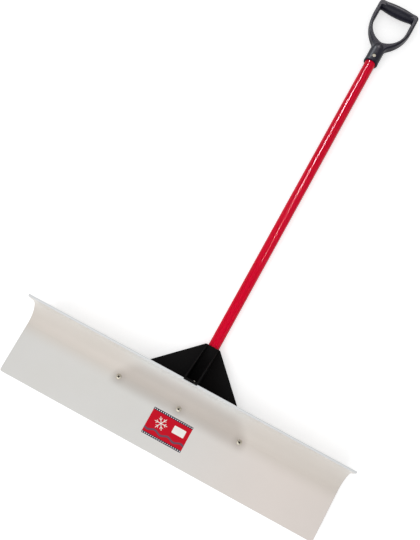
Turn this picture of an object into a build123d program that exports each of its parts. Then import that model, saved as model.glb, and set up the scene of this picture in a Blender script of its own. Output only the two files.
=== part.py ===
from build123d import *
import os
from math import acos, asin, cos, degrees, radians, sin

# A wide push-type snow shovel, lying on its back with the hollow of the blade up.
# X runs along the blade, Y runs from the scraping edge up the handle to the grip, Z is up.
# The origin is under the middle of the whole shovel. All sizes are in millimetres.

# --- Blade: one polyethylene sheet, flat below, rolled forward above, straight at the lip ---
blade_width = 914.4
sheet_thickness = 6.35
flat_height = 141.0
curl_radius = 56.0
curl_angle = 90.0
lip_length = 50.4
foot_corner_radius = 7.0
lip_corner_radius = 2.5
sheet_edge_chamfer = 0.6

# --- Screws that hold the blade to the bracket ---
screw_height = 133.0
screw_from_bracket_side = 19.2
screw_diameter = 6.35
screw_clearance = 0.25
screw_head_diameter = 14.6
screw_head_height = 3.4
screw_head_rim = 0.7
screw_tip_length = 2.0
washer_diameter = 18.0
washer_thickness = 1.6
nut_across_flats = 11.1
nut_height = 5.6
nut_collar_height = 2.2
nut_collar_step = 0.4
nut_collar_wall = 0.6
nut_ring_recess = 0.3
thread_clearance = 0.04

# --- Bracket: one moulding with a socket, two wings, front gussets and ribs behind ---
bracket_height = 211.0
screw_to_bracket_foot = 24.0
bracket_foot_half_width = 197.0
wing_side_height = 37.0
wing_thickness = 5.0
foot_corner = 14.0
shoulder_corner = 18.0
rim_thickness = 3.2
rim_depth = 12.0
rib_thickness = 2.8
rib_depth_at_socket = 27.0
upper_rib_station = 0.62
screw_boss_diameter = 25.0
screw_boss_height = 2.5
spot_face_clearance = 2.5
socket_wall = 5.1
socket_clearance = 0.25
socket_depth = 149.0
socket_floor = 6.0
socket_corner_radius = 8.0
socket_mouth_chamfer = 0.8
drain_diameter = 8.0
gusset_outer_half_width = 18.3
gusset_thickness = 2.8
gusset_height_at_top = 4.0
gusset_foot_turn = 22.0
lip_seat_clearance = 0.3
lip_seat_thickness = 3.0
lip_seat_length = 34.0

# --- Handle: a fibreglass tube with a core plug in each end ---
handle_diameter = 31.75
handle_wall = 3.2
handle_length = 1143.0
plug_clearance = 0.1
lower_plug_length = 110.0
upper_plug_length = 58.0
plug_chamfer = 1.5

# --- Bolt with a barrel nut through the socket, rivet through the grip ---
socket_bolt_drop = 107.5
socket_bolt_diameter = 6.35
socket_bolt_head_diameter = 11.6
socket_bolt_head_height = 3.2
socket_bolt_head_rim = 1.2
socket_bolt_depth = 26.0
barrel_diameter = 8.2
barrel_length = 24.0
barrel_flange_diameter = 13.5
barrel_flange_thickness = 1.6
barrel_closed_end = 2.0
barrel_clearance = 0.2
rivet_diameter = 6.35
rivet_head_diameter = 11.0
rivet_head_height = 2.2
rivet_head_rim = 0.5
rivet_from_rim = 16.5
recess_clearance = 0.4

# --- D-grip: one moulding ---
ferrule_wall = 5.1
ferrule_depth = 48.5
ferrule_length = 42.0
ferrule_rim_rounding = 3.0
ferrule_band_height = 7.0
ferrule_band_step = 0.5
ferrule_band_slope = 1.0
neck_dome_length = 26.0
neck_dome_tip_radius = 7.0
neck_half_width = 18.5
neck_blend_radius = 24.0
grip_reach = 186.0
grip_half_width = 62.5
grip_arm_width = 12.0
grip_arm_thickness = 26.0
grip_arm_rounding = 4.2
bow_start = 42.5
bow_radius = 108.0
opening_bow_start = 56.5
opening_bow_radius = 61.0
opening_foot_blend = 15.0
opening_top_drop = 9.0
opening_corner_radius = 3.0
grip_shoulder_height = 9.5
grip_shoulder_radius = 11.0
crossbar_radius = 16.5
crossbar_end_radius = 11.0
crossbar_end_inset = 6.0

# --- Label on the front of the blade ---
label_width = 114.3
label_height = 73.0
label_thickness = 0.25
label_corner_radius = 1.5
label_bottom = 37.2

# --- Working values: how far a cut runs past a face, and how closely two sizes match ---
overrun = 1.0
match = 0.01

# ----------------------------------------------------------------------------------------
# Sizes and stations that follow from the ones above
# ----------------------------------------------------------------------------------------
handle_radius = handle_diameter / 2
bore_radius = handle_radius + socket_clearance
tube_bore_radius = handle_radius - handle_wall
socket_half_width = bore_radius + socket_wall
ferrule_radius = bore_radius + ferrule_wall
screw_hole_radius = screw_diameter / 2 + screw_clearance
screw_spacing = bracket_foot_half_width - screw_from_bracket_side
barrel_hole_radius = barrel_diameter / 2 + barrel_clearance
rivet_hole_radius = rivet_diameter / 2 + barrel_clearance

below_handle = screw_height - screw_to_bracket_foot + bracket_height - socket_depth
above_handle = grip_reach + crossbar_radius - ferrule_depth
overall_length = below_handle + handle_length + above_handle

y_edge = -overall_length / 2
y_curl = y_edge + flat_height
y_screws = y_edge + screw_height
y_foot = y_screws - screw_to_bracket_foot
y_bracket_top = y_foot + bracket_height
y_handle_foot = y_bracket_top - socket_depth
y_socket_end = y_handle_foot - socket_floor
y_socket_bolt = y_bracket_top - socket_bolt_drop
y_handle_top = y_handle_foot + handle_length
y_rim = y_handle_top - ferrule_depth
y_rivet = y_rim + rivet_from_rim
y_crossbar = y_rim + grip_reach
y_bow = y_crossbar - bow_start
y_opening_bow = y_crossbar - opening_bow_start
y_shoulder = y_foot + wing_side_height

z_axis = max(socket_half_width, ferrule_radius, crossbar_radius)
z_wing_front = z_axis + socket_half_width
z_wing_back = z_wing_front - wing_thickness
z_blade_front = z_wing_front + sheet_thickness
z_curl = z_blade_front + curl_radius
z_boss_face = z_wing_back - screw_boss_height
z_washer_face = z_boss_face - washer_thickness
z_nut_face = z_washer_face - nut_height - nut_collar_height

screw_stations = {"left": -screw_spacing, "centre": 0.0, "right": screw_spacing}


def curl_station(radius, turn, straight=0.0):
    """Point (Y, Z) on the curl: `turn` degrees round it, then `straight` along its tangent."""
    angle = radians(turn)
    y = y_curl + radius * sin(angle) + straight * cos(angle)
    z = z_curl - radius * cos(angle) + straight * sin(angle)
    return (y, z)


def curl_arc(radius, start_turn, end_turn):
    """Arc about the curl's axis between two turns, in degrees from the flat of the blade."""
    return CenterArc((y_curl, z_curl), radius, start_turn - 90, end_turn - start_turn)


def along_x(face, x_from, x_to):
    """Extrude a face drawn in (Y, Z) between two X stations."""
    return Pos(x_from, 0, 0) * extrude(Plane.YZ * face, x_to - x_from)


def cross_bore(y, radius):
    """Vertical cut through the whole handle and what is round it."""
    return upright_cylinder(0, y, z_axis - 2 * ferrule_radius, z_axis + 2 * ferrule_radius, radius)


def upright_cylinder(x, y, z_low, z_high, radius):
    """Cylinder with a vertical axis."""
    middle = (z_low + z_high) / 2
    return Pos(x, y, middle) * Cylinder(radius, z_high - z_low)


def lengthwise_cylinder(y_low, y_high, radius):
    """Cylinder on the handle's axis."""
    middle = (y_low + y_high) / 2
    return Pos(0, middle, z_axis) * Rot(90, 0, 0) * Cylinder(radius, y_high - y_low)


def domed_head(radius, height, rim):
    """Low domed screw head on the XY plane: a short rim under a spherical cap."""
    rise = height - rim
    ball = (radius**2 + rise**2) / (2 * rise)
    half_turn = asin(radius / ball) / 2
    shoulder = (ball * sin(half_turn), height - ball + ball * cos(half_turn))
    profile = make_face(
        [
            Line((0, 0), (radius, 0)),
            Line((radius, 0), (radius, rim)),
            ThreePointArc((radius, rim), shoulder, (0, height)),
            Line((0, height), (0, 0)),
        ]
    )
    return revolve(Plane.XZ * profile, Axis.Z)


# ----------------------------------------------------------------------------------------
# Blade
# ----------------------------------------------------------------------------------------
def make_blade():
    """Sheet profile swept along X, with screw holes and worked edges."""
    back_radius = curl_radius + sheet_thickness
    z_back = z_blade_front - sheet_thickness
    profile = make_face(
        [
            Line((y_edge, z_blade_front), (y_curl, z_blade_front)),
            curl_arc(curl_radius, 0, curl_angle),
            Line(curl_station(curl_radius, curl_angle), curl_station(curl_radius, curl_angle, lip_length)),
            Line(
                curl_station(curl_radius, curl_angle, lip_length),
                curl_station(back_radius, curl_angle, lip_length),
            ),
            Line(curl_station(back_radius, curl_angle, lip_length), curl_station(back_radius, curl_angle)),
            curl_arc(back_radius, 0, curl_angle),
            Line((y_curl, z_back), (y_edge, z_back)),
            Line((y_edge, z_back), (y_edge, z_blade_front)),
        ]
    )
    sheet = along_x(profile, -blade_width / 2, blade_width / 2)
    corners = sheet.edges().filter_by(lambda edge: abs(edge.length - sheet_thickness) < match)
    sheet = fillet(corners.filter_by(lambda edge: edge.center().Y < y_curl), foot_corner_radius)
    corners = sheet.edges().filter_by(lambda edge: abs(edge.length - sheet_thickness) < match)
    sheet = fillet(corners.filter_by(lambda edge: edge.center().Y > y_curl), lip_corner_radius)
    cut_edges = sheet.edges().filter_by(
        lambda edge: abs(edge.length - sheet_thickness) > match and abs(edge.length - blade_width) > match
    )
    sheet = chamfer(cut_edges, sheet_edge_chamfer)
    for x in screw_stations.values():
        sheet -= upright_cylinder(x, y_screws, z_back - overrun, z_blade_front + overrun, screw_hole_radius)
    return sheet


# ----------------------------------------------------------------------------------------
# Bracket
# ----------------------------------------------------------------------------------------
def wing_outline():
    """Bracket seen from the front: wide foot, sloping shoulders, top as wide as the socket."""
    outline = make_face(
        Polyline(
            (-bracket_foot_half_width, y_foot),
            (bracket_foot_half_width, y_foot),
            (bracket_foot_half_width, y_shoulder),
            (socket_half_width, y_bracket_top),
            (-socket_half_width, y_bracket_top),
            (-bracket_foot_half_width, y_shoulder),
            close=True,
        )
    )
    outline = fillet(outline.vertices().filter_by(lambda corner: corner.Y < y_foot + match), foot_corner)
    shoulders = outline.vertices().filter_by(lambda corner: abs(corner.Y - y_shoulder) < match)
    return fillet(shoulders, shoulder_corner)


def socket_body():
    """Square-backed socket on the handle's axis, flush with the front of the wings."""
    half = socket_half_width
    section = Rectangle(2 * half, 2 * half)
    section = fillet(section.vertices().group_by(Axis.Y)[0], socket_corner_radius)
    body = extrude(Plane.XZ * section, -(y_bracket_top - y_socket_end))
    return Pos(0, y_socket_end, z_axis) * body


def rear_ribs(outline):
    """Web of ribs behind the wings, deep at the socket and shallow at the rim."""
    side = socket_half_width - rib_thickness / 2
    reach = bracket_foot_half_width
    upper = y_socket_end + upper_rib_station * (y_bracket_top - y_socket_end)
    lines = []
    for sign in (-1, 1):
        lines.append(Line((sign * side, y_foot), (sign * side, y_bracket_top)))
        lines.append(Line((sign * side, y_screws), (sign * reach, y_screws)))
        lines.append(Line((sign * side, y_socket_end), (sign * screw_spacing, y_screws)))
        lines.append(Line((sign * side, upper), (sign * screw_spacing, y_screws)))
    web = extrude(Pos(0, 0, z_wing_back) * trace(lines, rib_thickness), -rib_depth_at_socket)
    z_rim = z_wing_back - rim_depth
    z_deep = z_wing_back - rib_depth_at_socket
    slope = make_face(
        Polyline(
            (-reach, z_wing_back),
            (reach, z_wing_back),
            (reach, z_rim),
            (socket_half_width, z_deep),
            (-socket_half_width, z_deep),
            (-reach, z_rim),
            close=True,
        )
    )
    slope = Pos(0, y_bracket_top, 0) * extrude(Plane.XZ * slope, bracket_height)
    run_out = make_face(
        Polyline(
            (y_foot, z_wing_back),
            (y_foot, z_rim),
            (y_socket_end, z_deep),
            (y_bracket_top, z_deep),
            (y_bracket_top, z_wing_back),
            close=True,
        )
    )
    run_out = along_x(run_out, -reach, reach)
    inside = extrude(Pos(0, 0, z_wing_back) * outline, -rib_depth_at_socket)
    rim = extrude(Pos(0, 0, z_wing_back) * (outline - offset(outline, -rim_thickness)), -rim_depth)
    return (web & slope & run_out & inside) + rim


def front_gusset():
    """Thin rib, in (Y, Z), that carries the back of the curl from the wing out to the lip."""
    back = curl_radius + sheet_thickness + lip_seat_clearance
    seat = back + lip_seat_thickness
    reach = lip_length + lip_seat_clearance + lip_seat_thickness
    start = curl_station(back, gusset_foot_turn)
    top = (y_bracket_top, z_wing_front + gusset_height_at_top)
    return make_face(
        [
            Line((start[0], z_wing_front), start),
            curl_arc(back, gusset_foot_turn, curl_angle),
            Line(curl_station(back, curl_angle), curl_station(back, curl_angle, reach)),
            Line(curl_station(back, curl_angle, reach), curl_station(seat, curl_angle, reach)),
            Line(curl_station(seat, curl_angle, reach), top),
            Line(top, (y_bracket_top, z_wing_front)),
            Line((y_bracket_top, z_wing_front), (start[0], z_wing_front)),
        ]
    )


def lip_seat():
    """Pad between the gussets behind the lip, with a nose over half of the sheet's edge."""
    back = curl_radius + sheet_thickness + lip_seat_clearance
    outside = back + lip_seat_thickness
    nose = curl_radius + sheet_thickness / 2
    near = lip_length - lip_seat_length
    edge = lip_length + lip_seat_clearance
    far = edge + lip_seat_thickness
    return make_face(
        Polyline(
            curl_station(back, curl_angle, near),
            curl_station(back, curl_angle, edge),
            curl_station(nose, curl_angle, edge),
            curl_station(nose, curl_angle, far),
            curl_station(outside, curl_angle, far),
            curl_station(outside, curl_angle, near),
            close=True,
        )
    )


def make_bracket():
    """Wings, socket, ribs, gussets and lip seat as one moulding, then its bores."""
    outline = wing_outline()
    bracket = extrude(Pos(0, 0, z_wing_back) * outline, wing_thickness)
    bracket += socket_body()
    bracket += rear_ribs(outline)
    spot_face_radius = washer_diameter / 2 + spot_face_clearance
    for x in screw_stations.values():
        bracket += upright_cylinder(x, y_screws, z_boss_face, z_wing_back, screw_boss_diameter / 2)
        bracket -= upright_cylinder(x, y_screws, 0, z_boss_face, spot_face_radius)
    inner = gusset_outer_half_width - gusset_thickness
    bracket += along_x(front_gusset(), inner, gusset_outer_half_width)
    bracket += along_x(front_gusset(), -gusset_outer_half_width, -inner)
    bracket += along_x(lip_seat(), -gusset_outer_half_width, gusset_outer_half_width)

    bracket -= lengthwise_cylinder(y_handle_foot, y_bracket_top + overrun, bore_radius)
    bracket -= lengthwise_cylinder(y_socket_end - overrun, y_handle_foot + overrun, drain_diameter / 2)
    for x in screw_stations.values():
        bracket -= upright_cylinder(x, y_screws, 0, z_wing_front + overrun, screw_hole_radius)
    bracket -= upright_cylinder(0, y_socket_bolt, z_axis, z_wing_front + overrun, screw_hole_radius)
    bracket -= upright_cylinder(0, y_socket_bolt, -overrun, z_axis, barrel_hole_radius)
    mouth = bracket.edges().filter_by(GeomType.CIRCLE).group_by(Axis.Y)[-1]
    mouth = mouth.filter_by(lambda edge: abs(edge.radius - bore_radius) < match)
    bracket = chamfer(mouth, socket_mouth_chamfer)
    recess_radius = (barrel_flange_diameter + recess_clearance) / 2
    recess_top = z_axis - socket_half_width + barrel_flange_thickness + recess_clearance
    bracket -= upright_cylinder(0, y_socket_bolt, -overrun, recess_top, recess_radius)
    return bracket


# ----------------------------------------------------------------------------------------
# Handle
# ----------------------------------------------------------------------------------------
def make_handle_tube():
    """Fibreglass tube with one cross hole for the socket bolt and one for the grip rivet."""
    tube = lengthwise_cylinder(y_handle_foot, y_handle_top, handle_radius)
    tube -= lengthwise_cylinder(y_handle_foot - overrun, y_handle_top + overrun, tube_bore_radius)
    tube -= cross_bore(y_socket_bolt, barrel_hole_radius)
    tube -= cross_bore(y_rivet, rivet_hole_radius)
    return tube


def core_plug(y_low, y_high, y_hole, hole_radius):
    """Plug that keeps the tube's end from being crushed where a fastener goes through."""
    plug = lengthwise_cylinder(y_low, y_high, tube_bore_radius - plug_clearance)
    plug = chamfer(plug.edges().filter_by(GeomType.CIRCLE), plug_chamfer)
    return plug - cross_bore(y_hole, hole_radius)


# ----------------------------------------------------------------------------------------
# D-grip
# ----------------------------------------------------------------------------------------
def pointed_bow(half_width, radius, y_start):
    """Two arcs that leave the arms straight down and meet at the middle, closed on top."""
    centre_x = half_width - radius
    angle = degrees(acos(-centre_x / radius))
    return make_face(
        [
            CenterArc((centre_x, y_start), radius, 0, -angle),
            CenterArc((-centre_x, y_start), radius, angle - 180, -angle),
            Line((-half_width, y_start), (half_width, y_start)),
        ]
    )


def grip_frame_outline():
    """The D seen from the front, with its opening and its neck."""
    opening_half = grip_half_width - grip_arm_width
    arms_top = y_crossbar + grip_shoulder_height
    arms = Pos(0, (y_bow + arms_top) / 2) * Rectangle(2 * grip_half_width, arms_top - y_bow)
    arms = fillet(arms.vertices().group_by(Axis.Y)[-1], grip_shoulder_radius)
    opening = pointed_bow(opening_half, opening_bow_radius, y_opening_bow)
    opening = fillet(opening.vertices().group_by(Axis.Y)[0], opening_foot_blend)
    neck_top = opening.bounding_box().min.Y
    neck_low = y_rim + ferrule_length / 2
    neck = Pos(0, (neck_low + neck_top) / 2) * Rectangle(2 * neck_half_width, neck_top - neck_low)
    frame = pointed_bow(grip_half_width, bow_radius, y_bow) + arms + neck
    hollows = frame.vertices().filter_by(
        lambda corner: abs(abs(corner.X) - neck_half_width) < match and corner.Y > neck_low + match
    )
    frame = fillet(hollows, neck_blend_radius)
    window_top = y_crossbar - opening_top_drop
    window_height = window_top - y_opening_bow
    window = Pos(0, y_opening_bow + window_height / 2) * Rectangle(2 * opening_half, window_height)
    window = fillet(window.vertices().group_by(Axis.Y)[-1], opening_corner_radius)
    return frame - window - opening


def crossbar():
    """Barrel-shaped bar between the arms, with its ends inside them."""
    half = grip_half_width - crossbar_end_inset
    profile = make_face(
        [
            Line((-half, 0), (half, 0)),
            Line((half, 0), (half, crossbar_end_radius)),
            ThreePointArc((half, crossbar_end_radius), (0, crossbar_radius), (-half, crossbar_end_radius)),
            Line((-half, crossbar_end_radius), (-half, 0)),
        ]
    )
    return Pos(0, y_crossbar, z_axis) * revolve(profile, Axis.X)


def ferrule():
    """Round socket for the handle with a raised band at its rim and a domed top."""
    body_radius = ferrule_radius - ferrule_band_step
    band_end = ferrule_band_height + ferrule_band_slope
    dome_start = ferrule_length
    dome_end = dome_start + neck_dome_length
    profile = make_face(
        [
            Line((0, 0), (ferrule_radius, 0)),
            Line((ferrule_radius, 0), (ferrule_radius, ferrule_band_height)),
            Line((ferrule_radius, ferrule_band_height), (body_radius, band_end)),
            Line((body_radius, band_end), (body_radius, dome_start)),
            TangentArc((body_radius, dome_start), (neck_dome_tip_radius, dome_end), tangent=(0, 1)),
            Line((neck_dome_tip_radius, dome_end), (0, dome_end)),
            Line((0, dome_end), (0, 0)),
        ]
    )
    rim_corner = profile.vertices().sort_by_distance((ferrule_radius, 0))[0]
    profile = fillet(rim_corner, ferrule_rim_rounding)
    return Pos(0, y_rim, z_axis) * revolve(profile, Axis.Y)


def make_grip():
    """Flat D-frame with rounded arms, crossbar and ferrule as one moulding."""
    outline = Pos(0, 0, z_axis - grip_arm_thickness / 2) * grip_frame_outline()
    frame = extrude(outline, grip_arm_thickness)
    faces = frame.faces().filter_by(Plane.XY)
    frame = fillet(faces.edges(), grip_arm_rounding)
    grip = frame + crossbar() + ferrule()
    grip -= lengthwise_cylinder(y_rim - overrun, y_handle_top, bore_radius)
    grip -= cross_bore(y_rivet, rivet_hole_radius)
    recess_radius = (rivet_head_diameter + recess_clearance) / 2
    seat = ferrule_radius - rivet_head_height - recess_clearance
    recess = cross_bore(y_rivet, recess_radius)
    grip -= recess - upright_cylinder(0, y_rivet, z_axis - seat, z_axis + seat, recess_radius + overrun)
    return grip


# ----------------------------------------------------------------------------------------
# Fasteners
# ----------------------------------------------------------------------------------------
def make_blade_screw(x):
    """Truss-head screw, head on the front of the blade and tip past the lock nut."""
    head = domed_head(screw_head_diameter / 2, screw_head_height, screw_head_rim)
    shank = upright_cylinder(x, y_screws, z_nut_face - screw_tip_length, z_blade_front, screw_diameter / 2)
    return Pos(x, y_screws, z_blade_front) * head + shank


def make_washer(x):
    """Flat washer on the boss behind the wing."""
    disc = upright_cylinder(x, y_screws, z_washer_face, z_boss_face, washer_diameter / 2)
    z_below = z_washer_face - overrun
    z_above = z_boss_face + overrun
    return disc - upright_cylinder(x, y_screws, z_below, z_above, screw_hole_radius)


def make_lock_nut(x):
    """Hexagon nut with the round collar that holds its nylon ring."""
    bore = screw_diameter / 2 + thread_clearance
    z_hex = z_washer_face - nut_height
    hexagon = RegularPolygon(nut_across_flats / 2, 6, major_radius=False)
    body = Pos(x, y_screws, z_hex) * extrude(hexagon, nut_height)
    collar_radius = nut_across_flats / 2 - nut_collar_step
    collar = upright_cylinder(x, y_screws, z_nut_face, z_hex, collar_radius)
    hollow = upright_cylinder(x, y_screws, z_nut_face - overrun, z_hex, collar_radius - nut_collar_wall)
    thread = upright_cylinder(x, y_screws, z_nut_face - overrun, z_washer_face + overrun, bore)
    return body + (collar - hollow) - thread


def make_nylon_ring(x):
    """Ring pressed into the collar of a lock nut."""
    bore = screw_diameter / 2 + thread_clearance
    z_hex = z_washer_face - nut_height
    outside = nut_across_flats / 2 - nut_collar_step - nut_collar_wall
    ring = upright_cylinder(x, y_screws, z_nut_face + nut_ring_recess, z_hex, outside)
    return ring - upright_cylinder(x, y_screws, z_nut_face - overrun, z_hex + overrun, bore)


def make_socket_bolt():
    """Pan-head bolt from the front of the bracket, ending inside the barrel nut."""
    head = domed_head(socket_bolt_head_diameter / 2, socket_bolt_head_height, socket_bolt_head_rim)
    z_tip = z_wing_front - socket_bolt_depth
    shank = upright_cylinder(0, y_socket_bolt, z_tip, z_wing_front, socket_bolt_diameter / 2)
    return Pos(0, y_socket_bolt, z_wing_front) * head + shank


def make_barrel_nut():
    """Flanged barrel nut from behind, with its flange sunk in the back of the socket."""
    z_flange = z_axis - socket_half_width + recess_clearance
    z_seat = z_flange + barrel_flange_thickness
    z_mouth = z_flange + barrel_length
    flange = upright_cylinder(0, y_socket_bolt, z_flange, z_seat, barrel_flange_diameter / 2)
    barrel = upright_cylinder(0, y_socket_bolt, z_seat, z_mouth, barrel_diameter / 2)
    bore = socket_bolt_diameter / 2 + thread_clearance
    hole = upright_cylinder(0, y_socket_bolt, z_seat + barrel_closed_end, z_mouth + overrun, bore)
    return flange + barrel - hole


def make_grip_rivet():
    """Rivet through grip, tube and core plug, with both domed heads sunk in the ferrule."""
    seat = ferrule_radius - rivet_head_height - recess_clearance
    head = domed_head(rivet_head_diameter / 2, rivet_head_height, rivet_head_rim)
    shank = upright_cylinder(0, y_rivet, z_axis - seat, z_axis + seat, rivet_diameter / 2)
    front = Pos(0, y_rivet, z_axis + seat) * head
    back = Pos(0, y_rivet, z_axis - seat) * Rot(180, 0, 0) * head
    return shank + front + back


def make_label():
    """Thin sticker on the flat of the blade."""
    outline = Rectangle(label_width, label_height)
    outline = fillet(outline.vertices(), label_corner_radius)
    y_middle = y_edge + label_bottom + label_height / 2
    return Pos(0, y_middle, z_blade_front) * extrude(outline, label_thickness)


# ----------------------------------------------------------------------------------------
# Every piece by its name
# ----------------------------------------------------------------------------------------
pieces = {
    "blade": make_blade(),
    "bracket": make_bracket(),
    "handle_tube": make_handle_tube(),
    "handle_core_lower": core_plug(
        y_handle_foot, y_handle_foot + lower_plug_length, y_socket_bolt, barrel_hole_radius
    ),
    "handle_core_upper": core_plug(
        y_handle_top - upper_plug_length, y_handle_top, y_rivet, rivet_hole_radius
    ),
    "grip": make_grip(),
    "grip_rivet": make_grip_rivet(),
    "socket_bolt": make_socket_bolt(),
    "socket_barrel_nut": make_barrel_nut(),
    "label": make_label(),
    "nut_nylon_rings": Compound(children=[make_nylon_ring(x) for x in screw_stations.values()]),
}
for side, station in screw_stations.items():
    pieces[f"blade_screw_{side}"] = make_blade_screw(station)
    pieces[f"blade_washer_{side}"] = make_washer(station)
    pieces[f"blade_lock_nut_{side}"] = make_lock_nut(station)

os.makedirs("parts", exist_ok=True)
for name, piece in pieces.items():
    export_step(piece, f"parts/{name}.step")
    print(name, round(piece.volume / 1000, 2), "cm3")
print("overall length", round(overall_length, 1), "mm")
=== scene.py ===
# %% [markdown]
# # A wide snow shovel in Blender
#
# The shovel is a rolled sheet of milky polyethylene, a black moulded bracket, a red fibreglass
# tube and a black D-grip. Its shapes come from the CAD model, which is loaded as a fixed frame.
# This lesson gives every piece its finish, makes the screws and nuts in fine detail, prints the
# label, and lights the shovel on a pale floor. All lengths are metres. X runs along the blade,
# Y up the handle, and Z out of the front of the blade.

from math import radians

import bpy
import numpy as np
from mathutils import Matrix, Vector


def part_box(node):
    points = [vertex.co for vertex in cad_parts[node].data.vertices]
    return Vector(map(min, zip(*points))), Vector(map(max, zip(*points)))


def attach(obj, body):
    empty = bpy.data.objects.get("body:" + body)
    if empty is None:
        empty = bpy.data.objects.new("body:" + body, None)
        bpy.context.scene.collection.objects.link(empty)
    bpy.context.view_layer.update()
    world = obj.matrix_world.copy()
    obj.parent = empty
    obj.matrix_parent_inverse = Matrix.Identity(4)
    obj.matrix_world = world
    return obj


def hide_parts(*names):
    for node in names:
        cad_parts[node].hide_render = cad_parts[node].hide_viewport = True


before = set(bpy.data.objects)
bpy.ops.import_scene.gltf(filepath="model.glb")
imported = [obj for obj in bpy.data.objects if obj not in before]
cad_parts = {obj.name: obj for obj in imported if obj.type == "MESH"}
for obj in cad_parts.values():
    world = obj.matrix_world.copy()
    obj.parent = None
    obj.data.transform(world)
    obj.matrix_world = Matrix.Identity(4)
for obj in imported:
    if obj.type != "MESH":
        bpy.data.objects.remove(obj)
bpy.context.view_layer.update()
MM = 0.001

# %% [markdown]
# ## Stations
# A pattern that follows the object needs the object's own places: where the blade is flat, where
# the bracket ends, how high the handle lies. They are read from the boxes of the CAD pieces, so
# the finishes stay in place if the shovel changes size.

# %% Read the places that the finishes use
blade_low, blade_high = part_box("blade")
bracket_low, bracket_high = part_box("bracket")
handle_low, handle_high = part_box("handle_tube")
label_low, label_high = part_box("label")
axis_z = (handle_low.z + handle_high.z) / 2
front_z = label_low.z
label_middle = (label_low + label_high) / 2
print("front of the blade", round(front_z, 5), "handle axis", round(axis_z, 5))


# %% [markdown]
# ## Helpers for materials
# Colours are written as the hex values that a paint chart would give, which are sRGB. Blender
# works in linear light, so one function converts them. Another adds a node with its settings and
# links in one line, so that a recipe reads from top to bottom. What fills a socket is either the
# output of another node, which is linked, or a plain value, which is written.

# %% Colour helper
def linear(hex_colour):
    """sRGB hex to linear RGBA: c / 12.92 below 0.04045, else ((c + 0.055) / 1.055) ** 2.4."""
    s = np.array([int(hex_colour[i:i + 2], 16) for i in (1, 3, 5)]) / 255
    rgb = np.where(s <= 0.04045, s / 12.92, ((s + 0.055) / 1.055) ** 2.4)
    return (*map(float, rgb), 1.0)


print("mid grey #808080 is", round(linear("#808080")[0], 3), "in linear light")


# %% Node helpers
def fill(tree, node, values):
    """Fill a node's sockets, by name or number: link another node's output, or write a value."""
    for key, value in values.items():
        if isinstance(value, bpy.types.NodeSocket):
            tree.links.new(value, node.inputs[key])
        else:
            node.inputs[key].default_value = value


def add(tree, kind, settings=None, links=None, out=0):
    """Add one node, set its properties, fill its sockets, and return an output socket."""
    node = tree.nodes.new("ShaderNode" + kind)
    for key, value in (settings or {}).items():
        setattr(node, key, value)
    fill(tree, node, links or {})
    return node.outputs[out] if node.outputs else None


# %% [markdown]
# Every material starts in the same way: a new one comes with a Principled BSDF, the shader for
# most real surfaces, and the patterns need coordinates. Object coordinates are the model's own
# metres, so a pattern keeps its real size and stays in its place on the piece. A CAD piece then
# only gets its material, and its mesh is left as it is.

# %% Start a material, and give it to CAD pieces
def start_material(name, centre=(0, 0, 0)):
    """New material: its node tree, its surface shader and object coordinates from a centre."""
    material = bpy.data.materials.new(name)
    material.use_nodes = True
    tree = material.node_tree
    shader = tree.nodes["Principled BSDF"]
    place = add(tree, "TexCoord", out="Object")
    shift = tuple(-c for c in centre)
    place = add(tree, "Mapping", {}, {"Vector": place, "Location": shift})
    return material, tree, shader, place


def dress(node_names, material):
    """Give CAD pieces one material, leaving their meshes alone."""
    for node_name in node_names:
        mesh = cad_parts[node_name].data
        mesh.materials.clear()
        mesh.materials.append(material)
    print(material.name, "on", ", ".join(node_names))


# %% [markdown]
# ## The blade: a milky polyethylene sheet
# Ultra-high-molecular polyethylene is skived or pressed into sheets, so it is off-white and waxy,
# with faint lines along the sheet and fine handling scratches. It lets some light through: where
# the black bracket lies behind it, the sheet looks darker, and a small ring round each screw is
# pressed onto the bracket and looks darker still. This material has no real translucency, so the
# bracket's outline is worked out from its own sizes and drawn softly, as painted shade.

# %% Start the sheet, measured from its scraping edge and its front face
sheet, tree, shader, place = start_material("milky polyethylene sheet", (0, blade_low.y, front_z))
x_y_z = add(tree, "SeparateXYZ", {}, {"Vector": place}).node.outputs
along, up, out = x_y_z["X"], x_y_z["Y"], x_y_z["Z"]
side = add(tree, "Math", {"operation": "ABSOLUTE"}, {0: along})
print("blade", round(blade_high.x - blade_low.x, 4), "m wide")

# %% [markdown]
# The bracket's outline has a level foot, two upright sides and two slanting shoulders. The
# distance inside each of these edges is one line of arithmetic. The smallest of the three says how
# deep inside the outline a point lies, and a smooth minimum also rounds the corners.

# %% How far a point lies inside the bracket's outline
FOOT = bracket_low.y - blade_low.y
TOP = bracket_high.y - blade_low.y
HALF_FOOT = bracket_high.x
HALF_TOP = 21.2 * MM  # half the width of the socket's mouth
SIDE_HEIGHT = 37 * MM  # the upright side, below the slant
SLOPE = (HALF_FOOT - HALF_TOP) / (TOP - FOOT - SIDE_HEIGHT)
ROUNDING = 30 * MM

from_foot = add(tree, "Math", {"operation": "SUBTRACT"}, {0: up, 1: FOOT})
to_side = add(tree, "Math", {"operation": "SUBTRACT"}, {0: HALF_FOOT, 1: side})
half_here = add(tree, "Math", {"operation": "MULTIPLY_ADD"},
                {0: up, 1: -SLOPE, 2: HALF_TOP + SLOPE * TOP})
to_slant = add(tree, "Math", {"operation": "SUBTRACT"}, {0: half_here, 1: side})
to_slant = add(tree, "Math", {"operation": "MULTIPLY"}, {0: to_slant, 1: (1 + SLOPE**2) ** -0.5})
inside = add(tree, "Math", {"operation": "SMOOTH_MIN"}, {0: from_foot, 1: to_side, 2: ROUNDING})
inside = add(tree, "Math", {"operation": "SMOOTH_MIN"}, {0: inside, 1: to_slant, 2: ROUNDING})
print("outline from", round(FOOT, 4), "to", round(TOP, 4), "m above the scraping edge")
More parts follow.
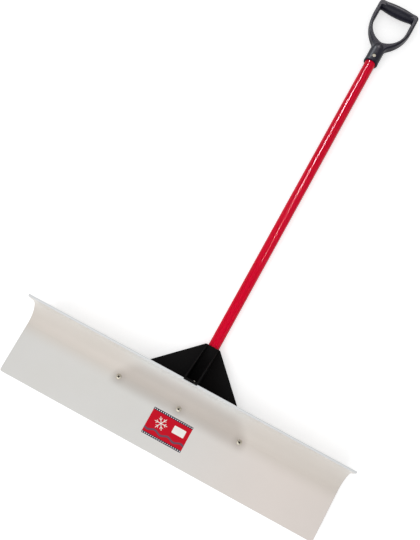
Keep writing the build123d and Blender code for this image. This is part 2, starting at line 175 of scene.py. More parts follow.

# %% [markdown]
# This shade is painted into the sheet's colour. A milky sheet blurs what lies behind it, so the
# painted shade comes in over some 30 mm. It fades round the curl, where the sheet leaves the
# bracket, and it is on the front face only. The darker painted rings round the screws use the
# distance from each screw's middle, which its CAD box gives.

# %% Painted shade of the bracket behind the sheet, and of the rings round the screws
# Painted shade: how much the bracket behind the sheet darkens its colour, fading round the curl
behind = add(tree, "MapRange", {"interpolation_type": "SMOOTHSTEP"},
             {"Value": inside, "From Min": -10 * MM, "From Max": 22 * MM})
gap_fade = add(tree, "MapRange", {"interpolation_type": "SMOOTHSTEP"},
               {"Value": out, "From Min": 0.0, "From Max": 42 * MM, "To Min": 0.23, "To Max": 0.0})
shade = add(tree, "Math", {"operation": "MULTIPLY"}, {0: behind, 1: gap_fade})
blade_screws = [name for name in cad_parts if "blade_screw" in name]
for name in blade_screws:
    low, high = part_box(name)
    screw = (low + high) / 2
    from_screw = add(tree, "VectorMath", {"operation": "DISTANCE"},
                     {0: place, 1: (screw.x, screw.y - blade_low.y, 0)}, "Value")
    # Painted shade: a darker ring round each screw, where the sheet is pressed onto the bracket
    shaded = add(tree, "MapRange", {"interpolation_type": "SMOOTHSTEP"},
                  {"Value": from_screw, "From Min": 6 * MM, "From Max": 26 * MM,
                   "To Min": 0.12, "To Max": 0.0})
    shade = add(tree, "Math", {}, {0: shade, 1: shaded})
front = add(tree, "MapRange", {}, {"Value": out, "From Min": -4 * MM, "From Max": -1 * MM})
shade = add(tree, "Math", {"operation": "MULTIPLY"}, {0: shade, 1: front})
print("pressed rings round", ", ".join(blade_screws))

# %% [markdown]
# The white of such a sheet is never quite even, and painted light and shade are mixed in with it.
# Towards the +X end it is lighter and pinker: partly a tint, and partly painted light that makes up
# for the key soft box lighting that end less. Along the bend it is darker and warmer, as painted
# shade where the sheet starts to curl. Towards the lip it is paler, and palest in the middle of the
# lip, as painted light. Broad noise adds the last slight clouds.

# %% Sheet colour, with painted light and shade
# Partly a tint and partly painted light: lighter and pinker towards the +X end
end_tint_and_light = add(tree, "MapRange", {"interpolation_type": "SMOOTHSTEP"},
           {"Value": along, "From Min": -0.1, "From Max": 0.35})
base = add(tree, "Mix", {"data_type": "RGBA"},
           {"Factor": end_tint_and_light, "A": linear("#D5D4D1"), "B": linear("#E0D7D1")}, "Result")
# Painted shade: darker and warmer along the bend, where the sheet starts to curl
bend_shade = add(tree, "MapRange", {"interpolation_type": "SMOOTHSTEP"},
           {"Value": up, "From Min": 0.105, "From Max": 0.155})
base = add(tree, "Mix", {"data_type": "RGBA"},
           {"Factor": bend_shade, "A": base, "B": linear("#CFC7BF")}, "Result")
# Painted light: paler towards the lip, and palest in the middle of the lip
middle_of_lip = add(tree, "MapRange", {"interpolation_type": "SMOOTHSTEP"},
              {"Value": side, "From Min": 0.10, "From Max": 0.22, "To Min": 1.0, "To Max": 0.0})
lip_light = add(tree, "Mix", {"data_type": "RGBA"},
               {"Factor": middle_of_lip, "A": linear("#F1EDE7"), "B": linear("#F4F7F6")}, "Result")
curl = add(tree, "MapRange", {}, {"Value": out, "From Min": 0.0, "From Max": 0.052})
base = add(tree, "Mix", {"data_type": "RGBA"}, {"Factor": curl, "A": base, "B": lip_light}, "Result")
cloud = add(tree, "TexNoise", {}, {"Vector": place, "Scale": 7.0, "Detail": 3.0, "Roughness": 0.5})
cloud = add(tree, "MapRange", {}, {"Value": cloud, "From Min": 0.35, "From Max": 0.7, "To Max": 0.12})
base = add(tree, "Mix", {"data_type": "RGBA"},
           {"Factor": cloud, "A": base, "B": linear("#C9C3B9")}, "Result")
# Painted shade: the colour is pulled towards a warm dark brown where the bracket and the screw rings lie
# behind the sheet
base = add(tree, "Mix", {"data_type": "RGBA"},
           {"Factor": shade, "A": base, "B": linear("#54381A")}, "Result")
print("sheet colour uses", len(tree.nodes), "nodes")

# %% [markdown]
# A sawn or planed edge of this plastic looks whiter than its faces, because light that entered
# the sheet comes out there. That light is painted: the edges get a paler, slightly blue colour.
# The edges are where the sheet ends: the lip, the scraping edge and the two sides. Three ramps
# under a millimetre wide pick them out.

# %% Painted light on the cut edges
LIP = blade_high.z - front_z
END = blade_high.x
at_lip = add(tree, "MapRange", {}, {"Value": out, "From Min": LIP - 1.2 * MM, "From Max": LIP - 0.4 * MM})
at_ends = add(tree, "MapRange", {}, {"Value": side, "From Min": END - 1.0 * MM, "From Max": END - 0.5 * MM})
at_foot = add(tree, "MapRange", {}, {"Value": up, "From Min": 0.5 * MM, "From Max": 1.0 * MM,
                                     "To Min": 1.0, "To Max": 0.0})
# Painted light: the cut edges are pulled towards a paler, slightly blue white
cut_edge_light = add(tree, "Math", {"operation": "MAXIMUM"}, {0: at_lip, 1: at_ends})
cut_edge_light = add(tree, "Math", {"operation": "MAXIMUM"}, {0: cut_edge_light, 1: at_foot})
base = add(tree, "Mix", {"data_type": "RGBA"},
           {"Factor": cut_edge_light, "A": base, "B": linear("#DCDEDF")}, "Result")
fill(tree, shader, {"Base Color": base})
print("lip", round(LIP, 4), "m in front of the blade, ends at", round(END, 4), "m")

# %% [markdown]
# The skiving knife leaves lines a few millimetres apart along the sheet. They are too shallow to
# see as colour, so they only tilt the light. Handling scratches are short, thin and straight:
# noise that is stretched a hundred times along one direction looks like them.

# %% Sheet surface: knife lines and handling scratches
lines = add(tree, "Mapping", {}, {"Vector": place, "Scale": (1.5, 320.0, 320.0)})
lines = add(tree, "TexNoise", {}, {"Vector": lines, "Scale": 1.0, "Detail": 2.0})
grain = add(tree, "TexNoise", {}, {"Vector": place, "Scale": 900.0, "Detail": 2.0})
turned = add(tree, "Mapping", {}, {"Vector": place, "Rotation": (0, 0, radians(23)),
                                   "Scale": (6.0, 900.0, 200.0)})
scratch = add(tree, "TexNoise", {}, {"Vector": turned, "Scale": 1.0, "Detail": 1.0})
scratch = add(tree, "MapRange", {}, {"Value": scratch, "From Min": 0.68, "From Max": 0.76})
height = add(tree, "Math", {"operation": "MULTIPLY_ADD"}, {0: lines, 1: 0.5, 2: grain})
height = add(tree, "Math", {"operation": "MULTIPLY_ADD"}, {0: scratch, 1: -0.8, 2: height})
bump = add(tree, "Bump", {}, {"Height": height, "Strength": 0.12, "Distance": 0.0004})
gloss = add(tree, "MapRange", {}, {"Value": scratch, "To Min": 0.44, "To Max": 0.62})
fill(tree, shader, {"Normal": bump, "Roughness": gloss, "IOR": 1.53})
dress(["blade"], sheet)

# %% [markdown]
# ## The bracket and the grip: moulded black plastic
# Both are injection moulded. The mould is spark-eroded, which gives the plastic an even matt
# grain finer than a millimetre, and the plastic flows in, which leaves broad, faint changes of
# gloss. Where the two halves of the grip's mould meet there is a fine parting line. Such a grain
# scatters much of the mirror part of the light, so the specular level is set far below a polish.

# %% Bracket: black glass-filled nylon
nylon_black, tree, shader, place = start_material("black glass-filled nylon")
flow = add(tree, "TexNoise", {}, {"Vector": place, "Scale": 14.0, "Detail": 4.0, "Distortion": 0.6})
spark = add(tree, "TexNoise", {}, {"Vector": place, "Scale": 1400.0, "Detail": 2.0})
tone = add(tree, "Mix", {"data_type": "RGBA"},
           {"Factor": flow, "A": linear("#040303"), "B": linear("#080606")}, "Result")
rough = add(tree, "MapRange", {}, {"Value": flow, "From Min": 0.3, "From Max": 0.7,
                                   "To Min": 0.42, "To Max": 0.58})
bump = add(tree, "Bump", {}, {"Height": spark, "Strength": 0.35, "Distance": 0.0002})
fill(tree, shader, {"Base Color": tone, "Roughness": rough, "Normal": bump,
                    "IOR": 1.53, "Specular IOR Level": 0.04})
dress(["bracket"], nylon_black)

# %% [markdown]
# The grip is rubbed by gloves, so its grain is smoother and its shine a little stronger than the
# bracket's, and its black leans to blue. The parting line is a ridge less than a millimetre wide
# in the plane through the middle of the grip, so the distance from that plane draws it.

# %% Grip: blue-black polypropylene with a parting line
grip_black, tree, shader, place = start_material("blue-black polypropylene", (0, 0, axis_z))
flow = add(tree, "TexNoise", {}, {"Vector": place, "Scale": 22.0, "Detail": 4.0, "Distortion": 0.4})
spark = add(tree, "TexNoise", {}, {"Vector": place, "Scale": 1600.0, "Detail": 2.0})
tone = add(tree, "Mix", {"data_type": "RGBA"},
           {"Factor": flow, "A": linear("#0C0B14"), "B": linear("#181726")}, "Result")
rough = add(tree, "MapRange", {}, {"Value": flow, "From Min": 0.3, "From Max": 0.7,
                                   "To Min": 0.30, "To Max": 0.44})
depth = add(tree, "SeparateXYZ", {}, {"Vector": place}, "Z")
depth = add(tree, "Math", {"operation": "ABSOLUTE"}, {0: depth})
parting = add(tree, "MapRange", {"interpolation_type": "SMOOTHSTEP"},
              {"Value": depth, "From Min": 0.0, "From Max": 0.4 * MM, "To Min": 1.0, "To Max": 0.0})
height = add(tree, "Math", {"operation": "MULTIPLY_ADD"}, {0: spark, 1: 0.3, 2: parting})
bump = add(tree, "Bump", {}, {"Height": height, "Strength": 0.5, "Distance": 0.0003})
fill(tree, shader, {"Base Color": tone, "Roughness": rough, "Normal": bump,
                    "IOR": 1.49, "Specular IOR Level": 0.16})
dress(["grip"], grip_black)

# %% [markdown]
# ## The handle: red pultruded fibreglass
# Pultrusion pulls glass rovings through a bath of coloured resin and a hot die. The rovings run
# straight along the tube and show as faint streaks under a hard, smooth skin of resin. So the
# streaks sit in the colour only, the surface has no bump, and a low roughness keeps the long
# line of light on the tube thin and clean.

# %% Handle finish
fibreglass, tree, shader, place = start_material("red pultruded fibreglass", (0, 0, axis_z))
rovings = add(tree, "Mapping", {}, {"Vector": place, "Scale": (420.0, 3.0, 420.0)})
rovings = add(tree, "TexNoise", {}, {"Vector": rovings, "Scale": 1.0, "Detail": 3.0})
streak = add(tree, "MapRange", {}, {"Value": rovings, "From Min": 0.35, "From Max": 0.65})
tone = add(tree, "Mix", {"data_type": "RGBA"},
           {"Factor": streak, "A": linear("#C80020"), "B": linear("#DE0032")}, "Result")
fill(tree, shader, {"Base Color": tone, "Roughness": 0.1, "IOR": 1.54, "Specular IOR Level": 0.06})
dress(["handle_tube"], fibreglass)

# %% [markdown]
# ## Small hidden parts
# The plugs in the ends of the tube are foamed plastic, and the rings in the lock nuts are natural
# nylon. Little of them shows, but each still has its own finish: cells in the foam, and a waxy,
# slightly cloudy yellow-white in the nylon.

# %% Foam of the core plugs
foam, tree, shader, place = start_material("foamed core")
cells = add(tree, "TexVoronoi", {}, {"Vector": place, "Scale": 900.0})
tone = add(tree, "Mix", {"data_type": "RGBA"},
           {"Factor": cells, "A": linear("#B8AA82"), "B": linear("#D9CFAE")}, "Result")
bump = add(tree, "Bump", {}, {"Height": cells, "Strength": 0.5, "Distance": 0.0004})
fill(tree, shader, {"Base Color": tone, "Normal": bump, "Roughness": 0.85})
dress(["handle_core_lower", "handle_core_upper"], foam)

# %% Nylon of the locking rings
nylon_natural, tree, shader, place = start_material("natural nylon")
cloud = add(tree, "TexNoise", {}, {"Vector": place, "Scale": 500.0, "Detail": 2.0})
tone = add(tree, "Mix", {"data_type": "RGBA"},
           {"Factor": cloud, "A": linear("#DAD6C4"), "B": linear("#EDEBDF")}, "Result")
fill(tree, shader, {"Base Color": tone, "Roughness": 0.38, "IOR": 1.53})
dress(["nut_nylon_rings"], nylon_natural)

# %% [markdown]
# ## Zinc-plated steel
# Zinc is plated as a thin coat on cold-headed steel and passivated, which leaves it slightly
# yellow-grey. It is metallic, and is rubbed only by tumbling with other screws, so its gloss
# varies in small soft patches. The recess of a screw gets painted shade: a number stored on the
# mesh, called recess, says how deep a point lies in it, and darkens the metal there.

# %% Zinc finish, with painted shade in the recesses
zinc, tree, shader, place = start_material("bright zinc plate")
patches = add(tree, "TexNoise", {}, {"Vector": place, "Scale": 420.0, "Detail": 3.0})
tone = add(tree, "Mix", {"data_type": "RGBA"},
           {"Factor": patches, "A": linear("#A8A294"), "B": linear("#CCC6B8")}, "Result")
# Painted shade: the metal darkens where a point lies deep in a screw's recess
sunk = add(tree, "Attribute", {"attribute_name": "recess"}, out="Fac")
tone = add(tree, "Mix", {"data_type": "RGBA"},
           {"Factor": sunk, "A": tone, "B": linear("#2A2725")}, "Result")
rough = add(tree, "MapRange", {}, {"Value": patches, "From Min": 0.3, "From Max": 0.7,
                                   "To Min": 0.24, "To Max": 0.42})
bump = add(tree, "Bump", {}, {"Height": patches, "Strength": 0.2, "Distance": 0.0002})
fill(tree, shader, {"Base Color": tone, "Roughness": rough, "Normal": bump, "Metallic": 1.0})
washers = [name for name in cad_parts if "washer" in name]
dress([*washers, "grip_rivet", "socket_barrel_nut"], zinc)


# %% [markdown]
# ## A surface from a grid
# Most turned and headed parts are one closed grid: a profile of points on one side, carried round
# an axis. The grid's last column joins its first, and its first and last rows close in a pole.
# The same function makes screws, bolts and nuts, because it only needs the grid of points.

# %% Put a grid of points into a mesh
def grid_piece(name, points, loop=False):
    """Closed surface from points[row, turn]: quads between rows, wrapped round the turns.

    Rows that run down the outside, with anticlockwise turns, give faces that point outwards.
    With loop=False the end rows each shrink to a pole. With loop=True the last row joins the
    first, as in a ring.
    """
    rows, turns = points.shape[:2]
    row, turn = np.meshgrid(np.arange(rows if loop else rows - 1), np.arange(turns), indexing="ij")
    here = row * turns + turn
    beside = row * turns + (turn + 1) % turns
    above = (row + 1) % rows * turns
    quads = np.stack([here, above + turn, above + (turn + 1) % turns, beside], -1).reshape(-1, 4)
    vertices = points.reshape(-1, 3)
    faces = quads.tolist()
    if not loop:
        vertices = np.vstack([vertices, points[0].mean(0), points[-1].mean(0)])
        first, last = rows * turns, rows * turns + 1
        turn = np.arange(turns)
        beside = (turn + 1) % turns
        last_row = (rows - 1) * turns
        faces += np.stack([np.full(turns, first), turn, beside], 1).tolist()
        faces += np.stack([np.full(turns, last), last_row + beside, last_row + turn], 1).tolist()
    mesh = bpy.data.meshes.new(name)
    mesh.from_pydata(vertices.tolist(), [], faces)
    mesh.shade_smooth()
    mesh.update()
    piece = bpy.data.objects.new(name, mesh)
    bpy.context.collection.objects.link(piece)
    print(name, len(mesh.polygons), "faces")
    return piece


def smooth_step(value, low, high):
    """0 below low, 1 above high, and t * t * (3 - 2t) between them."""
    t = np.clip((value - low) / (high - low), 0, 1)
    return t * t * (3 - 2 * t)


# %% [markdown]
# ## Screws with a cross recess and a rolled thread
# A screw is headed cold, its cross recess is punched, and its thread is rolled. In one grid, the
# rows run from the middle of the head over the dome, under the head and down the shank. The
# recess pushes rows of the head down where a point lies in the cross, and the thread moves rows
# of the shank inwards along a helix, so the screw never grows past its plain CAD size.

# %% Thread and shank, in line with a quarter-inch screw
SHANK_RADIUS = 3.17 * MM
PITCH = 1.27 * MM
THREAD_DEPTH = 0.55 * MM
TURNS = 96
print("thread", PITCH, "m pitch on", 2 * SHANK_RADIUS, "m")


# %% Screw surface
def screw_points(head_radius, head_height, head_rim, length, thread_length):
    """Rows (radius, height) of a domed head, rim, underside, shank and tip, carried round Z.

    Dome: height = rim + rise * (1 - (r / R) ** 2). Recess: height -= depth, with smooth walls,
    where the point lies in either arm of a cross. Thread: radius -= depth *
    |2 * frac(height / pitch - turn) - 1| ** 1.5.
    """
    r = np.linspace(0.02, 1, 46) * head_radius
    dome = np.stack([r, head_rim + (head_height - head_rim) * (1 - (r / head_radius) ** 2)], 1)
    edge = 0.25 * MM
    under = np.array([[head_radius, edge], [head_radius - edge, 0], [SHANK_RADIUS + edge, 0]])
    shank_rows = int(length / (0.12 * MM))
    shank = np.stack([np.full(shank_rows, SHANK_RADIUS), np.linspace(-edge, -length, shank_rows)], 1)
    shank[-8:, 0] *= np.linspace(1, 0.76, 8)
    tip = np.array([[SHANK_RADIUS * 0.72, -length], [SHANK_RADIUS * 0.1, -length]])
    profile = np.vstack([dome, under, shank, tip])
    turn = np.arange(TURNS) / TURNS
    radius = np.repeat(profile[:, :1], TURNS, 1)
    height = np.repeat(profile[:, 1:], TURNS, 1)

    threaded = (height < -(length - thread_length)) & (height > -length + 0.9 * MM)
    phase = (height / PITCH - turn) % 1
    radius = np.where(threaded, radius - THREAD_DEPTH * np.abs(2 * phase - 1) ** 1.5, radius)

    x = radius * np.cos(2 * np.pi * turn)
    y = radius * np.sin(2 * np.pi * turn)
    arm_width = 0.2108 * head_radius
    reach = 0.56 * head_radius
    thin = np.minimum(np.abs(x), np.abs(y))
    long = np.maximum(np.abs(x), np.abs(y))
    in_arm = 1 - smooth_step(thin, 0.5 * arm_width, 0.85 * arm_width)
    in_reach = 1 - smooth_step(long, 0.8 * reach, reach)
    sunk = in_arm * in_reach * (height > 0.5 * head_rim)
    return np.stack([x, y, height - 0.62 * head_height * sunk], -1), sunk


# %% [markdown]
# A screw stops turning where it is tight, so no two recesses lie at the same angle. The detailed
# screw takes the place of the plain CAD one: it keeps its seat, its head's size and its length.

# %% Put a detailed screw in the place of a plain one
def place_screw(node, head_rim, seat_z, thread_length, turned, recess_shade=1.0):
    """Stand a detailed screw in for a plain CAD one, with its head's underside at seat_z."""
    low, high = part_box(node)
    points, sunk = screw_points((high.x - low.x) / 2, high.z - seat_z, head_rim,
                                seat_z - low.z, thread_length)
    cosine, sine = np.cos(turned), np.sin(turned)
    spin = np.array([[cosine, sine, 0], [-sine, cosine, 0], [0, 0, 1]])
    middle = np.array([(low.x + high.x) / 2, (low.y + high.y) / 2, seat_z])
    piece = grid_piece(node + "_detailed", points @ spin + middle)
    # Painted shade: how dark each point is drawn, from its depth in the recess
    values = np.append(sunk.ravel(), [sunk[0].mean(), 0.0])
    recess = piece.data.attributes.new("recess", "FLOAT", "POINT")
    recess.data.foreach_set("value", (recess_shade * values).astype(np.float32))
    piece.data.materials.append(zinc)
    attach(piece, "root")
    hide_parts(node)


# %% Three blade screws and the socket bolt
for node, turned in (("blade_screw_left", 0.35), ("blade_screw_centre", -0.5), ("blade_screw_right", 0.9)):
    place_screw(node, 0.7 * MM, front_z, 14 * MM, turned)
# The socket bolt gets weaker painted shade in its recess
place_screw("socket_bolt", 1.2 * MM, blade_low.z, 16 * MM, 0.2, recess_shade=0.3)


# %% [markdown]
# ## Lock nuts
# A hexagon nut is a prism whose corners are turned off by a cone. In polar form the flats are
# r = a / cos(angle to the nearest flat), and the cone is a second radius that grows away from
# each face. The smaller of the two, row by row, is the nut. Its inner wall makes the grid a closed
# ring. All faces are shaded flat, because a machined corner is sharp.

# %% Nut surface
def nut_points(across_flats, bore, height, collar_radius, collar_height):
    """Ring of rows: hexagon with turned corners, collar, and the bore back to the seat.

    Hexagon: r = a / cos(turn % 60 deg - 30 deg), at most 0.98 a + 1.9 * height from the nearer face.
    """
    half, lip, turns = across_flats / 2, 0.3 * MM, 144
    turn = np.arange(turns) / turns * 2 * np.pi
    hexagon = half / np.cos((turn % (np.pi / 3)) - np.pi / 6)
    level = np.linspace(0, 1, 9)
    limit = half * 0.98 + 1.9 * height * np.minimum(level, 1 - level)
    prism = np.minimum(hexagon, limit[:, None])
    top = height + collar_height
    rest = np.array([[collar_radius, height + 0.02 * MM], [collar_radius, top - lip],
                     [collar_radius - lip, top], [collar_radius - 2 * lip, top],
                     [collar_radius - 2 * lip, height], [bore, height], [bore, 0]])
    radius = np.vstack([prism, np.repeat(rest[:, :1], turns, 1)])
    z = -np.concatenate([level * height, rest[:, 1]])[:, None] * np.ones_like(radius)
    return np.stack([radius * np.cos(turn), radius * np.sin(turn), z], -1)


# %% Stand the nuts on their washers
COLLAR_HEIGHT = 2.2 * MM
COLLAR_STEP = 0.4 * MM
BORE_RADIUS = SHANK_RADIUS + 0.05 * MM
for node in [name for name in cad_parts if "lock_nut" in name]:
    low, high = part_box(node)
    across_flats = high.y - low.y
    points = nut_points(across_flats, BORE_RADIUS, high.z - low.z - COLLAR_HEIGHT,
                        across_flats / 2 - COLLAR_STEP, COLLAR_HEIGHT)
    middle = np.array([(low.x + high.x) / 2, (low.y + high.y) / 2, high.z])
    nut = grid_piece(node + "_detailed", points + middle, loop=True)
    nut.data.shade_flat()
    nut.data.materials.append(zinc)
    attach(nut, "root")
    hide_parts(node)

# %% [markdown]
# ## The label: a printed film
# The sticker is a white vinyl film printed red, with navy bands of white dots, a blank white
# panel, a mauve drift line and a plain snow crystal. Every shape is a mask worked out from
# distances in millimetres, so it stays sharp at any size. The crystal is drawn by folding: the
# angle round its middle is folded into one twelfth of a turn, so two straight bars in that wedge
# make all six arms.

# %% Masks for the label's shapes
def within(tree, distance, reach):
    """1 where distance < reach, with an edge a fifth of a millimetre wide."""
    return add(tree, "MapRange", {}, {"Value": distance, "From Min": reach - 0.1 * MM,
                                      "From Max": reach + 0.1 * MM, "To Min": 1.0, "To Max": 0.0})


def bar_mask(tree, value, middle, half):
    """1 where |value - middle| < half."""
    offset = add(tree, "Math", {"operation": "SUBTRACT"}, {0: value, 1: middle})
    offset = add(tree, "Math", {"operation": "ABSOLUTE"}, {0: offset})
    return within(tree, offset, half)


def panel_mask(tree, x, y, centre, half, corner):
    """1 inside a rounded rectangle: length(max(|p| - half + corner, 0)) < corner."""
    sides = []
    for value, middle, reach in ((x, centre[0], half[0]), (y, centre[1], half[1])):
        offset = add(tree, "Math", {"operation": "SUBTRACT"}, {0: value, 1: middle})
        offset = add(tree, "Math", {"operation": "ABSOLUTE"}, {0: offset})
        offset = add(tree, "Math", {"operation": "SUBTRACT"}, {0: offset, 1: reach - corner})
        sides.append(add(tree, "Math", {"operation": "MAXIMUM"}, {0: offset, 1: 0.0}))
    corner_point = add(tree, "CombineXYZ", {}, {"X": sides[0], "Y": sides[1]})
    distance = add(tree, "VectorMath", {"operation": "LENGTH"}, {0: corner_point}, "Value")
    return within(tree, distance, corner)


# %% Start the label, with its bands
film, tree, shader, place = start_material("printed vinyl film", tuple(label_middle))
x_y = add(tree, "SeparateXYZ", {}, {"Vector": place}).node.outputs
x, y = x_y["X"], x_y["Y"]
BAND_HALF = 3 * MM
band_middle = (label_high.y - label_low.y) / 2 - BAND_HALF
from_middle = add(tree, "Math", {"operation": "ABSOLUTE"}, {0: y})
band = bar_mask(tree, from_middle, band_middle, BAND_HALF)
print("label", round(label_high.x - label_low.x, 4), "m wide, band middle at", round(band_middle, 4))

# %% White dots along the bands, 6 mm apart, and a drift line that follows a sine
step = add(tree, "Math", {"operation": "PINGPONG"}, {0: x, 1: 3.0 * MM})
dots = panel_mask(tree, step, from_middle, (0.0, band_middle), (1.4 * MM, 1.4 * MM), 1.4 * MM)
wave = add(tree, "Math", {"operation": "MULTIPLY"}, {0: x, 1: 2 * np.pi / (38 * MM)})
wave = add(tree, "Math", {"operation": "SINE"}, {0: wave})
drift = add(tree, "Math", {"operation": "MULTIPLY_ADD"}, {0: wave, 1: -3 * MM, 2: y})
drift = bar_mask(tree, drift, -19 * MM, 2.6 * MM)
print("dots and drift line use", len(tree.nodes), "nodes")

# %% Blank panel, and a folded snow crystal
panel = panel_mask(tree, x, y, (29 * MM, 9 * MM), (17 * MM, 10 * MM), 2 * MM)
from_crystal = add(tree, "VectorMath", {"operation": "SUBTRACT"}, {0: place, 1: (-22 * MM, 6 * MM, 0)})
polar = add(tree, "SeparateXYZ", {}, {"Vector": from_crystal}).node.outputs
angle = add(tree, "Math", {"operation": "ARCTAN2"}, {0: polar["Y"], 1: polar["X"]})
angle = add(tree, "Math", {"operation": "PINGPONG"}, {0: angle, 1: radians(30)})
flat = add(tree, "CombineXYZ", {}, {"X": polar["X"], "Y": polar["Y"]})
reach = add(tree, "VectorMath", {"operation": "LENGTH"}, {0: flat}, "Value")
cosine = add(tree, "Math", {"operation": "COSINE"}, {0: angle})
sine = add(tree, "Math", {"operation": "SINE"}, {0: angle})
out_along = add(tree, "Math", {"operation": "MULTIPLY"}, {0: reach, 1: cosine})
out_across = add(tree, "Math", {"operation": "MULTIPLY"}, {0: reach, 1: sine})
arm = panel_mask(tree, out_along, out_across, (9 * MM, 0.0), (9 * MM, 0.9 * MM), 0.3 * MM)
branch = add(tree, "Math", {"operation": "MULTIPLY_ADD"}, {0: out_across, 1: -1.0, 2: out_along})
twig = bar_mask(tree, branch, 9 * MM, 0.9 * MM)
short = bar_mask(tree, out_across, 0.0, 4.5 * MM)
twig = add(tree, "Math", {"operation": "MULTIPLY"}, {0: twig, 1: short})
crystal = add(tree, "Math", {"operation": "MAXIMUM"}, {0: arm, 1: twig})
print("with panel and crystal", len(tree.nodes), "nodes")

# %% [markdown]
# A printer lays one ink over the other: first the red ground, then the drift line, the bands and
# last the white. Mix nodes in that order do the same. The film is thin, so it shows a slight
# waviness of the sheet under it, as a weak bump.

# %% Print the inks one over the other
NAVY, WHITE, MAUVE = linear("#101D3A"), linear("#F1EFEA"), linear("#6A4B5E")
ink = linear("#C60020")
for mask, colour in ((drift, MAUVE), (band, NAVY), (dots, WHITE), (panel, WHITE), (crystal, WHITE)):
    ink = add(tree, "Mix", {"data_type": "RGBA"}, {"Factor": mask, "A": ink, "B": colour}, "Result")
wrinkle = add(tree, "TexNoise", {}, {"Vector": place, "Scale": 60.0, "Detail": 1.0})
bump = add(tree, "Bump", {}, {"Height": wrinkle, "Strength": 0.08, "Distance": 0.0005})
fill(tree, shader, {"Base Color": ink, "Normal": bump, "Roughness": 0.36,
                    "IOR": 1.5, "Specular IOR Level": 0.08})
dress(["label"], film)

# %% [markdown]
# ## Floor and world
# The floor is pale and matt. To the eye it also glows a little, so that it reads as white while
# the shovel's soft shadow stays. The world is a plain grey-white studio for lighting, and plain
# white to the camera and in reflections. Both need to know whether a ray belongs to the eye, which
# is the camera, a reflection or a look through glass, or to the lighting.

# %% Rays of the eye
def eye_rays(tree):
    """1 for camera, glossy and transmission rays, and 0 for the rays that carry the lighting."""
    rays = add(tree, "LightPath").node.outputs
    seen = add(tree, "Math", {"operation": "MAXIMUM"}, {0: rays["Is Camera Ray"], 1: rays["Is Glossy Ray"]})
    return add(tree, "Math", {"operation": "MAXIMUM"}, {0: seen, 1: rays["Is Transmission Ray"]})


# %% Floor
FLOOR_REACH = 6.0
corners = FLOOR_REACH * np.array([(-1, -1, 0), (1, -1, 0), (1, 1, 0), (-1, 1, 0)])
floor_mesh = bpy.data.meshes.new("floor")
floor_mesh.from_pydata(corners.tolist(), [], [(0, 1, 2, 3)])
floor = bpy.data.objects.new("floor", floor_mesh)
bpy.context.collection.objects.link(floor)
paper, tree, shader, place = start_material("pale studio floor")
speck = add(tree, "TexNoise", {}, {"Vector": place, "Scale": 40.0})
tone = add(tree, "Mix", {"data_type": "RGBA"},
           {"Factor": speck, "A": linear("#E9E9E9"), "B": linear("#EDEDED")}, "Result")
glow = add(tree, "Math", {"operation": "MULTIPLY"}, {0: eye_rays(tree), 1: 0.5})
fill(tree, shader, {"Base Color": tone, "Roughness": 0.9,
                    "Emission Color": (1, 1, 1, 1), "Emission Strength": glow})
floor_mesh.materials.append(paper)
print("floor", 2 * FLOOR_REACH, "m square")

# %% World
world = bpy.data.worlds.new("studio")
bpy.context.scene.world = world
world.use_nodes = True
tree = world.node_tree
tree.nodes.clear()
strength = add(tree, "MapRange", {}, {"Value": eye_rays(tree), "To Min": 0.5, "To Max": 1.0})
studio = add(tree, "Background", {}, {"Color": (1, 1, 1, 1), "Strength": strength})
add(tree, "OutputWorld", {}, {"Surface": studio})
print("world nodes:", ", ".join(node.name for node in tree.nodes))


# %% [markdown]
# ## Light
# One large soft box in front gives the blade its form. Glossy pieces need something bright to
# mirror, but a lamp strong enough for that would bleach the pale sheet. So four strips are linked
# to the pieces that they are meant for, and add to their gloss alone. A strip that lies where the
# tube mirrors it all along gives the tube one long, clean line of light.

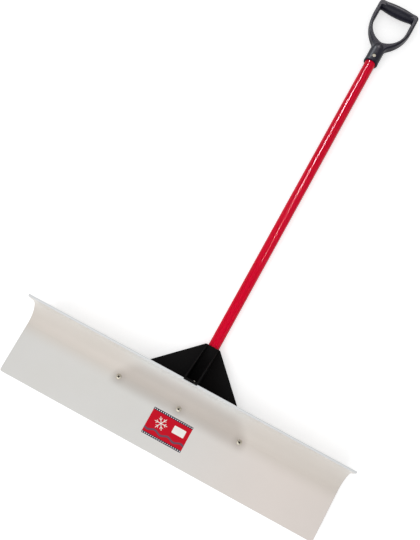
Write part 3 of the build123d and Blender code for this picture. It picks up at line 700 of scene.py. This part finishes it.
# %% A soft box, and the large one in front
def soft_box(name, place, aim, size, watts, long_axis=(1, 0, 0)):
    """Rectangular area lamp at `place`, facing `aim`, with its first side near `long_axis`."""
    lamp = bpy.data.lights.new(name, "AREA")
    lamp.shape = "RECTANGLE"
    lamp.size, lamp.size_y = size
    lamp.energy = watts
    back = (Vector(place) - Vector(aim)).normalized()
    across = Vector(long_axis)
    across = (across - back * across.dot(back)).normalized()
    holder = bpy.data.objects.new(name, lamp)
    bpy.context.collection.objects.link(holder)
    turn = Matrix((across, back.cross(across), back)).transposed().to_4x4()
    holder.matrix_world = Matrix.Translation(place) @ turn
    print(name, watts, "W")
    return holder


soft_box("key softbox", (-0.38, -1.6, 2.3), (0, -0.5, 0), (2.2, 2.2), 34)

# %% Strip lights that show only in the gloss of the dark and red pieces
# Each row: name, place, aim, (length, width), watts, long axis, colour, pieces that it lights.
STRIPS = (
    ("upper strip", (-0.9, 1.46, 1.8), (0, 0.35, 0), (1.1, 0.6), 280, (0.75, -0.9, 0),
     (0.93, 0.88, 1.0), ["handle_tube"]),
    ("lower strip", (0.08, 0.72, 1.8), (0, 0, 0), (1.1, 0.08), 34, (1, -0.6, 0),
     (1.0, 0.93, 0.9), ["handle_tube"]),
    ("rim strip", (-1.9, 1.6, 1.5), (0, 0.3, 0), (1.8, 0.5), 120, (0.5, 1, 0),
     (0.9, 0.95, 1.0), ["grip", "bracket"]),
    ("bar strip", (-0.2, 2.5, 1.5), (0, 0.7, 0), (1.0, 0.5), 45, (1, 0, 0),
     (1.0, 0.95, 0.98), ["grip"]),
)
for name, place, aim, size, watts, long_axis, colour, lit in STRIPS:
    strip = soft_box(name, place, aim, size, watts, long_axis)
    strip.data.color = colour
    strip.visible_diffuse = False
    receivers = bpy.data.collections.new("lit by the " + name)
    for node in lit:
        receivers.objects.link(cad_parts[node])
    strip.light_linking.receiver_collection = receivers

# %% [markdown]
# ## Camera
# The camera hangs over the blade and looks almost straight down, turned so that the handle runs to
# the upper right. The lens is a normal one. The shift slides the frame over the whole tool
# without tilting the camera any further.

# %% Camera
camera_data = bpy.data.cameras.new("camera")
camera = bpy.data.objects.new("camera", camera_data)
bpy.context.collection.objects.link(camera)
camera_data.lens = 43.7673
camera_data.shift_x = -0.02222
camera_data.shift_y = 0.14630
camera.location = (0.11707, -0.66302, 1.75118)
camera.rotation_euler = (radians(8.9645), radians(-1.3092), radians(28.4370))
bpy.context.scene.camera = camera
bpy.context.scene.view_settings.view_transform = "Standard"
print("camera", round(camera.location.z, 3), "m above the floor, lens", round(camera_data.lens, 1), "mm")
